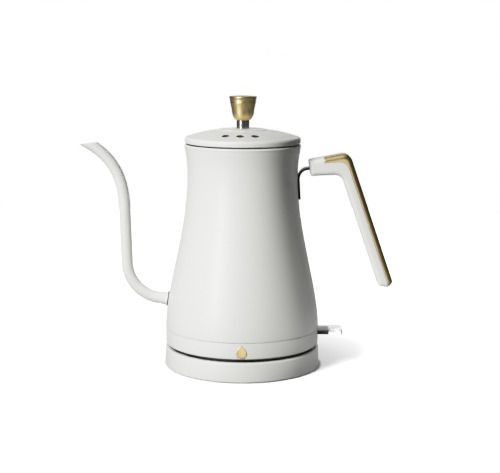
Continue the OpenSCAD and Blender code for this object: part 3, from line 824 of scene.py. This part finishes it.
class Look:
    """A material under construction, with its nodes laid on the object's own coordinates."""

    def __init__(self, name, color, rough, metal=0.0, **sockets):
        self.mat = bpy.data.materials.new(name)
        self.mat.use_nodes = True
        self.tree = self.mat.node_tree
        self.shader = self.tree.nodes["Principled BSDF"]
        self.color = color
        self.set("Base Color", (*color, 1))
        self.set("Roughness", rough)
        self.set("Metallic", metal)
        for key, value in sockets.items():
            self.set(key.replace("_", " "), value)
        self.coords = self.node("ShaderNodeTexCoord").outputs["Object"]

    def set(self, socket, value):
        self.shader.inputs[socket].default_value = value

    def node(self, kind, **values):
        node = self.tree.nodes.new(kind)
        for key, value in values.items():
            setattr(node, key, value)
        return node

    def link(self, a, b):
        self.tree.links.new(a, b)

    def stretch(self, scale):
        """Coordinates scaled by its own factor on each axis."""
        node = self.node("ShaderNodeMapping")
        node.inputs["Scale"].default_value = scale
        self.link(self.coords, node.inputs["Vector"])
        return node.outputs["Vector"]

    def round_z(self, around, along):
        """Coordinates for marks that run round the Z axis: slow with the angle, quick along the profile."""
        flat = self.node("ShaderNodeVectorMath", operation="MULTIPLY")
        flat.inputs[1].default_value = (1, 1, 0)
        self.link(self.coords, flat.inputs[0])
        out = self.node("ShaderNodeVectorMath", operation="NORMALIZE")
        self.link(flat.outputs[0], out.inputs[0])
        slow = self.node("ShaderNodeVectorMath", operation="SCALE")
        slow.inputs["Scale"].default_value = around
        self.link(out.outputs[0], slow.inputs[0])
        far = self.node("ShaderNodeVectorMath", operation="LENGTH")
        self.link(flat.outputs[0], far.inputs[0])
        split = self.node("ShaderNodeSeparateXYZ")
        self.link(self.coords, split.inputs[0])
        total = math_of(self.tree, "ADD", far.outputs["Value"], split.outputs["Z"])
        quick = math_of(self.tree, "MULTIPLY", total, along)
        parts = self.node("ShaderNodeSeparateXYZ")
        self.link(slow.outputs[0], parts.inputs[0])
        vector = self.node("ShaderNodeCombineXYZ")
        self.link(parts.outputs["X"], vector.inputs["X"])
        self.link(parts.outputs["Y"], vector.inputs["Y"])
        self.link(quick, vector.inputs["Z"])
        return vector.outputs[0]

    def noise(self, scale, detail, vector=None, roughness=0.5):
        node = self.node("ShaderNodeTexNoise")
        node.inputs["Scale"].default_value = scale
        node.inputs["Detail"].default_value = detail
        node.inputs["Roughness"].default_value = roughness
        self.link(vector or self.coords, node.inputs["Vector"])
        return node.outputs["Fac"]

    def remap(self, value, low, high, start=0.3, end=0.7):
        return ramp(self.tree, value, start, end, low, high)

    def tint(self, value, low, high):
        """Base colour that runs between two factors of the material's own colour."""
        mix = self.node("ShaderNodeMix", data_type="RGBA")
        mix.inputs["A"].default_value = (*[min(c * low, 1) for c in self.color], 1)
        mix.inputs["B"].default_value = (*[min(c * high, 1) for c in self.color], 1)
        self.link(value, mix.inputs["Factor"])
        self.link(mix.outputs["Result"], self.shader.inputs["Base Color"])
        return self

    def roughen(self, value, low, high):
        self.link(self.remap(value, low, high), self.shader.inputs["Roughness"])
        return self

    def bump(self, *layers):
        """Adds bumps, each given as its height field, its depth in millimetres and its strength."""
        normal = None
        for value, depth, strength in layers:
            node = self.node("ShaderNodeBump")
            node.inputs["Distance"].default_value = depth * MM
            node.inputs["Strength"].default_value = strength
            self.link(value, node.inputs["Height"])
            if normal:
                self.link(normal, node.inputs["Normal"])
            normal = node.outputs["Normal"]
        self.link(normal, self.shader.inputs["Normal"])
        return self


def enamel():
    """Sprayed and baked satin white: orange peel, a faint cloudiness and a thin clear top layer."""
    look = Look("enamel_white", (0.83, 0.83, 0.80), 0.44, Coat_Weight=0.1, Coat_Roughness=0.25)
    peel = look.noise(520, 2)
    cloud = look.noise(24, 4)
    look.tint(cloud, 0.985, 1.015)
    look.roughen(look.noise(160, 3), 0.41, 0.48)
    look.bump((peel, 0.014, 0.3), (look.noise(2600, 2), 0.002, 0.15))
    return look


def plastic_white():
    """Moulded white plastic: finely spark-etched, a little rougher than the enamel."""
    look = Look("plastic_white", (0.82, 0.82, 0.79), 0.42, Coat_Weight=0.1, Coat_Roughness=0.25)
    look.tint(look.noise(30, 4), 0.985, 1.012)
    look.roughen(look.noise(420, 3), 0.38, 0.47)
    look.bump((look.noise(3200, 3), 0.004, 0.25), (look.noise(260, 2), 0.01, 0.2))
    return look


def brass_turned():
    """Lathe-brushed brass: fine rings round the Z axis, so highlights draw out along the axis."""
    look = Look("brass_turned", (0.76, 0.61, 0.3), 0.4, 1.0, Anisotropic=0.4, Anisotropic_Rotation=0.25)
    tangent = look.node("ShaderNodeTangent", direction_type="RADIAL", axis="Z")
    look.link(tangent.outputs[0], look.shader.inputs["Tangent"])
    rings = look.noise(1, 5, look.round_z(1.6, 9000), 0.7)
    patina = look.noise(70, 4)
    look.tint(look.remap(patina, 0, 1, 0.35, 0.65), 0.93, 1.05)
    look.roughen(rings, 0.38, 0.43)
    look.bump((rings, 0.0003, 0.1))
    return look


def brass_drawn():
    """Brass strip brushed along its length, with a few faint rubs."""
    look = Look("brass_drawn", (0.78, 0.61, 0.31), 0.36, 1.0)
    grain = look.noise(1, 4, look.stretch((700, 6000, 700)), 0.6)
    rubs = look.noise(45, 5)
    look.tint(look.remap(rubs, 0, 1, 0.35, 0.65), 0.9, 1.05)
    look.roughen(grain, 0.32, 0.42)
    look.bump((grain, 0.001, 0.2))
    return look


def chrome():
    """Polished stem with faint turning marks, a little dark as it mirrors the dim room."""
    look = Look("chrome_stem", (0.42, 0.42, 0.41), 0.24, 1.0)
    rings = look.noise(1, 4, look.round_z(1.2, 7000))
    look.tint(look.noise(90, 3), 0.92, 1.05)
    look.roughen(rings, 0.2, 0.28)
    look.bump((rings, 0.0004, 0.1))
    return look


def steel_round():
    """Spun stainless steel, with fine rings round the Z axis."""
    look = Look("steel_spun", (0.62, 0.62, 0.61), 0.3, 1.0)
    rings = look.noise(1, 5, look.round_z(2.5, 5000), 0.65)
    look.tint(look.noise(60, 4), 0.92, 1.05)
    look.roughen(rings, 0.24, 0.38)
    look.bump((rings, 0.006, 0.4))
    return look


def steel_pan_painted_shade():
    """Spun steel below; above, painted shade: upward faces are tinted near black inside the closed lid, so
    the light through the vents doesn't show there.
    """
    look = Look("steel_pan_painted_shade", (0.62, 0.62, 0.61), 0.3, 1.0)
    rings = look.noise(1, 5, look.round_z(2.5, 5000), 0.65)
    facing = look.node("ShaderNodeSeparateXYZ")
    look.link(look.node("ShaderNodeTexCoord").outputs["Normal"], facing.inputs[0])
    # Painted shade: the more a face looks upwards, the nearer black its colour.
    look.tint(look.remap(facing.outputs["Z"], 1, 0, 0.1, 0.4), 0.02, 1)
    look.roughen(rings, 0.24, 0.38)
    look.bump((rings, 0.006, 0.4))
    return look


def steel_plain():
    """Zinc-plated fixings."""
    look = Look("steel_plated", (0.6, 0.6, 0.59), 0.32, 1.0)
    look.tint(look.noise(400, 4), 0.85, 1.06)
    look.roughen(look.noise(900, 3), 0.26, 0.42)
    look.bump((look.noise(2500, 3), 0.004, 0.4))
    return look


def steel_dark():
    """Black-nickelled strap with a satin grain."""
    look = Look("steel_dark", (0.05, 0.048, 0.045), 0.38, 0.6)
    look.tint(look.noise(120, 4), 0.75, 1.25)
    look.roughen(look.noise(1, 4, look.stretch((500, 5000, 500))), 0.3, 0.46)
    look.bump((look.noise(1800, 3), 0.006, 0.35))
    return look


def plastic_black(name, rough, depth):
    """Black moulded plastic; depth is that of its texture in millimetres."""
    look = Look(name, (0.022, 0.022, 0.023), rough)
    look.tint(look.noise(50, 4), 0.8, 1.25)
    look.roughen(look.noise(700, 3), rough * 0.85, rough * 1.2)
    look.bump((look.noise(2200, 3), depth, 0.5))
    return look


def plastic_grey():
    """Unpainted grey plastic of the hidden mouldings."""
    look = Look("plastic_grey", (0.56, 0.56, 0.54), 0.5)
    look.tint(look.noise(40, 4), 0.93, 1.05)
    look.roughen(look.noise(600, 3), 0.42, 0.58)
    look.bump((look.noise(1800, 3), 0.012, 0.5))
    return look


def acrylic():
    """Clear moulded plastic with faint flow lines."""
    look = Look("acrylic_clear", (0.8, 0.81, 0.81), 0.05, Transmission_Weight=1.0, IOR=1.49)
    look.tint(look.noise(150, 3), 0.97, 1.03)
    look.roughen(look.noise(300, 3), 0.03, 0.09)
    look.bump((look.noise(180, 2), 0.02, 0.25))
    return look


def contact_metal():
    """Tarnished brass of the electrical contacts."""
    look = Look("brass_contact", (0.7, 0.52, 0.26), 0.3, 1.0)
    look.tint(look.noise(350, 4), 0.75, 1.08)
    look.roughen(look.noise(1, 4, look.round_z(2, 5000)), 0.22, 0.4)
    look.bump((look.noise(2000, 3), 0.004, 0.4))
    return look


def aluminium_cast():
    """Die-cast aluminium, as it leaves its mould."""
    look = Look("aluminium_cast", (0.62, 0.62, 0.62), 0.45, 1.0)
    look.tint(look.noise(200, 5), 0.85, 1.06)
    look.roughen(look.noise(500, 4), 0.36, 0.58)
    look.bump((look.noise(900, 4), 0.03, 0.5))
    return look


def rubber():
    """Matt black rubber of the foot ring."""
    look = Look("rubber_black", (0.03, 0.03, 0.031), 0.72)
    look.tint(look.noise(300, 4), 0.75, 1.3)
    look.roughen(look.noise(700, 3), 0.62, 0.84)
    look.bump((look.noise(1500, 4), 0.03, 0.6))
    return look


def silicone():
    """Black silicone of the seals."""
    look = Look("silicone_black", (0.018, 0.018, 0.018), 0.6)
    look.tint(look.noise(200, 3), 0.9, 1.1)
    look.roughen(look.noise(500, 3), 0.5, 0.68)
    look.bump((look.noise(1200, 3), 0.01, 0.4))
    return look


white_enamel = enamel().mat
white_plastic = plastic_white().mat
turned_brass = brass_turned().mat
drawn_brass = brass_drawn().mat
steel_spun = steel_round().mat
steel_plated = steel_plain().mat
black_satin = plastic_black("plastic_black", 0.5, 0.02).mat
black_gloss = plastic_black("plastic_black_gloss", 0.16, 0.004).mat
grey_plastic = plastic_grey().mat
contact_brass = contact_metal().mat
cast_aluminium = aluminium_cast().mat
soft_silicone = silicone().mat

PIECE_LOOKS = [
    (vessel, white_enamel), (spout, white_enamel), (collar, white_enamel), (lid, white_enamel),
    (skirt, white_plastic), (base_rim, white_plastic), (grip, white_plastic),
    (trim, drawn_brass), (knob, turned_brass), (badge, drawn_brass), (stem, chrome().mat),
    (bracket, steel_dark().mat), (lever, black_gloss), (paddle, acrylic().mat),
]
NODE_LOOKS = {
    "base_deck": black_satin, "base_socket": black_satin, "cord_bush": black_satin,
    "bottom_cover": black_satin, "switch_bracket": black_satin,
    "base_plate": grey_plastic, "cord_clamp": grey_plastic, "control_body": grey_plastic,
    "steam_switch": grey_plastic, "foot_ring": rubber().mat,
    "vessel_floor": steel_spun, "lid_pan": steel_pan_painted_shade().mat, "steam_tube": steel_spun,
    "base_screws": steel_plated, "clamp_screws": steel_plated, "bottom_screws": steel_plated,
    "handle_screws": steel_plated, "knob_screw": steel_plated, "lever_pin": steel_plated,
    "knob_washer": steel_plated,
    "plunger_spring": steel_plated, "element_terminals": steel_plated,
    "socket_contacts": contact_brass, "earth_plunger": contact_brass, "connector_pin": contact_brass,
    "connector_ring": contact_brass, "bimetal_discs": contact_brass,
    "heat_plate": cast_aluminium, "heating_element": cast_aluminium,
    "steam_seal": soft_silicone, "lid_seal": soft_silicone, "spout_gasket": soft_silicone,
}

for piece, look in PIECE_LOOKS:
    piece.data.materials.clear()
    piece.data.materials.append(look)
for name, look in NODE_LOOKS.items():
    for material_slot in NODES[name].material_slots:
        material_slot.material = look


def line_inside(piece, look, is_inside):
    """Gives a piece's inner faces a second material."""
    piece.data.materials.append(look)
    for face in piece.data.polygons:
        centre = face.center / MM
        if is_inside(centre, face.normal):
            face.material_index = 1


def in_vessel(centre, normal):
    """True on the bare steel inside the vessel."""
    radial = centre.x * normal.x + centre.y * normal.y
    return radial < 0 and seam_z < centre.z < rim_z - 1.2


def in_vent_painted_shade(centre, normal):
    """True on the walls of the lid's vent holes, which take the black plastic as painted shade."""
    return abs(normal.z) < 0.3 and math.hypot(centre.x, centre.y) < lid_r - 6 and centre.z > lid_z + 3


line_inside(vessel, steel_spun, in_vessel)
# The vent walls are painted black as shade, so the holes read dark.
line_inside(lid, black_satin, in_vent_painted_shade)

# ---- Floor, light and camera ----

# Scene brightness that comes out as full white: the floor and the space behind it.
white_level = 1.6
# Brightness from which the camera's response bends over.
shoulder = 0.45
# Brightness of the white screen that stands behind the object, as its surfaces see it.
screen_level = 1.2

# The floor, in metres from the object's axis: its glow is painted dimmer near the base as painted shadow
# and brightens outwards, and it is painted dark under the base as a contact shadow.
floor_r = 1.0
shadow_fade_span = (0.068, 0.17)
shadowed_glow = 0.45
contact_shadow_span = (0.0695, 0.0725)

camera_at = (0.0067, -1.0677, 0.294)
camera_tilt = 80.492
camera_turn = 0.31
camera_lens = 88.05
light_target = Vector((0, 0, 0.12))


def toned(v):
    """The camera's response: straight up to the shoulder, then rolling off towards white."""
    if v <= shoulder:
        return v
    return 1 - (1 - shoulder) * math.exp(-(v - shoulder) / (1 - shoulder))


def stage_floor():
    """A pale floor that shows only to the camera, so it throws no light back on the object; its glow holds
    a painted shadow round the base.
    """
    mesh = bpy.data.meshes.new("floor")
    rim = [(floor_r * math.cos(a), floor_r * math.sin(a), 0) for a in np.radians(np.arange(0, 360, 5))]
    mesh.from_pydata(rim, [], [range(len(rim))])
    floor = bpy.data.objects.new("floor", mesh)
    bpy.context.scene.collection.objects.link(floor)
    floor.visible_diffuse = False
    floor.visible_glossy = False
    mat = bpy.data.materials.new("floor_white")
    mat.use_nodes = True
    shader = mat.node_tree.nodes["Principled BSDF"]
    shader.inputs["Base Color"].default_value = (0.9, 0.9, 0.9, 1)
    shader.inputs["Roughness"].default_value = 1
    shader.inputs["Specular IOR Level"].default_value = 0
    shader.inputs["Emission Color"].default_value = (1, 1, 1, 1)
    tree = mat.node_tree
    coords = tree.nodes.new("ShaderNodeTexCoord")
    length = tree.nodes.new("ShaderNodeVectorMath")
    length.operation = "LENGTH"
    tree.links.new(coords.outputs["Object"], length.inputs[0])
    away = length.outputs["Value"]
    # Painted shadow: the floor's glow is lower near the base and rises to full white further out.
    glow_with_painted_shadow = ramp(tree, away, *shadow_fade_span, shadowed_glow, white_level, "SMOOTHSTEP")
    # Painted contact shadow: the glow falls to nothing just under the base's edge.
    past_contact_shadow = ramp(tree, away, *contact_shadow_span, 0, 1, "SMOOTHSTEP")
    tree.links.new(math_of(tree, "MULTIPLY", glow_with_painted_shadow, past_contact_shadow), shader.inputs["Emission Strength"])
    mesh.materials.append(mat)
    return floor


def area_light(name, azimuth, elevation, distance, size, radiance, color=(1, 1, 1)):
    """A softbox aimed at the object's middle. Azimuth 0 is the front (-Y) and 90 the handle's side."""
    a = math.radians(azimuth)
    e = math.radians(elevation)
    way = Vector((math.sin(a) * math.cos(e), -math.cos(a) * math.cos(e), math.sin(e)))
    data = bpy.data.lights.new(name, "AREA")
    data.shape = "RECTANGLE"
    data.size, data.size_y = size
    data.energy = radiance * math.pi * size[0] * size[1]
    data.color = color
    lamp = bpy.data.objects.new(name, data)
    lamp.location = light_target + way * distance
    lamp.rotation_euler = way.to_track_quat("Z", "Y").to_euler()
    lamp.visible_camera = False
    bpy.context.scene.collection.objects.link(lamp)
    return lamp


def light_only(lamp, *lit):
    """Keeps a lamp's light to some objects; everything else still throws its shadow on them."""
    only = bpy.data.collections.new(lamp.name + "_lit")
    for piece in lit:
        only.objects.link(piece)
    lamp.light_linking.receiver_collection = only


def studio_world():
    """Dim all round and a little lighter from below, a white screen behind, and white for the camera."""
    world = bpy.data.worlds.new("studio")
    bpy.context.scene.world = world
    world.use_nodes = True
    tree = world.node_tree
    tree.nodes.clear()
    out = tree.nodes.new("ShaderNodeOutputWorld")
    dim = tree.nodes.new("ShaderNodeBackground")
    coords = tree.nodes.new("ShaderNodeTexCoord")
    way = tree.nodes.new("ShaderNodeSeparateXYZ")
    tree.links.new(coords.outputs["Generated"], way.inputs[0])
    from_table = ramp(tree, way.outputs["Z"], -0.1, 0.1, 0.13, 0.02)
    screen = ramp(tree, way.outputs["Y"], 0.8, 0.95, 0, screen_level)
    tree.links.new(math_of(tree, "ADD", screen, from_table), dim.inputs["Strength"])
    white = tree.nodes.new("ShaderNodeBackground")
    white.inputs["Color"].default_value = (1, 1, 1, 1)
    white.inputs["Strength"].default_value = white_level
    path = tree.nodes.new("ShaderNodeLightPath")
    through = math_of(tree, "MULTIPLY", path.outputs["Is Transmission Ray"], 0.1)
    mix = tree.nodes.new("ShaderNodeMixShader")
    tree.links.new(math_of(tree, "MAXIMUM", path.outputs["Is Camera Ray"], through), mix.inputs[0])
    tree.links.new(dim.outputs[0], mix.inputs[1])
    tree.links.new(white.outputs[0], mix.inputs[2])
    tree.links.new(mix.outputs[0], out.inputs["Surface"])


def studio_camera():
    data = bpy.data.cameras.new("camera")
    data.lens = camera_lens
    data.sensor_width = 36
    data.sensor_fit = "HORIZONTAL"
    data.dof.use_dof = False
    camera = bpy.data.objects.new("camera", data)
    tilt = Matrix.Rotation(math.radians(camera_tilt), 4, "X")
    turn = Matrix.Rotation(math.radians(camera_turn), 4, "Z")
    camera.matrix_world = Matrix.Translation(camera_at) @ (tilt @ turn)
    bpy.context.scene.collection.objects.link(camera)
    bpy.context.scene.camera = camera


def camera_response():
    """Tones the picture as a photograph is: a soft roll-off in the bright parts."""
    view = bpy.context.scene.view_settings
    view.view_transform = "Standard"
    view.look = "None"
    view.use_curve_mapping = True
    view.curve_mapping.white_level = (white_level, white_level, white_level)
    curve = view.curve_mapping.curves[3]
    for v in (0.25, 0.5, 0.625, 0.75, 0.875, 1, 1.15, 1.3):
        curve.points.new(v / white_level, toned(v))
    view.curve_mapping.update()


floor = stage_floor()
studio_world()
area_light("key", azimuth=-41, elevation=24, distance=2.6, size=(0.6, 2.6), radiance=21.5,
           color=(1.0, 0.995, 0.985))
key_on_floor = area_light("key_on_floor", azimuth=-42, elevation=24, distance=2.6, size=(0.9, 2.6),
                          radiance=34)
light_only(key_on_floor, floor)
area_light("top", azimuth=0, elevation=88, distance=2.2, size=(1.4, 1.4), radiance=1)
back = area_light("back", azimuth=182, elevation=12, distance=2.6, size=(1.8, 2.0), radiance=2)
back.visible_glossy = False
brass_card = area_light("brass_card", azimuth=4, elevation=-12, distance=0.75, size=(0.36, 0.3),
                        radiance=2.2)
light_only(brass_card, trim, badge)
area_light("bounce", azimuth=62, elevation=-38, distance=0.16, size=(0.1, 0.05), radiance=1)
studio_camera()
camera_response()
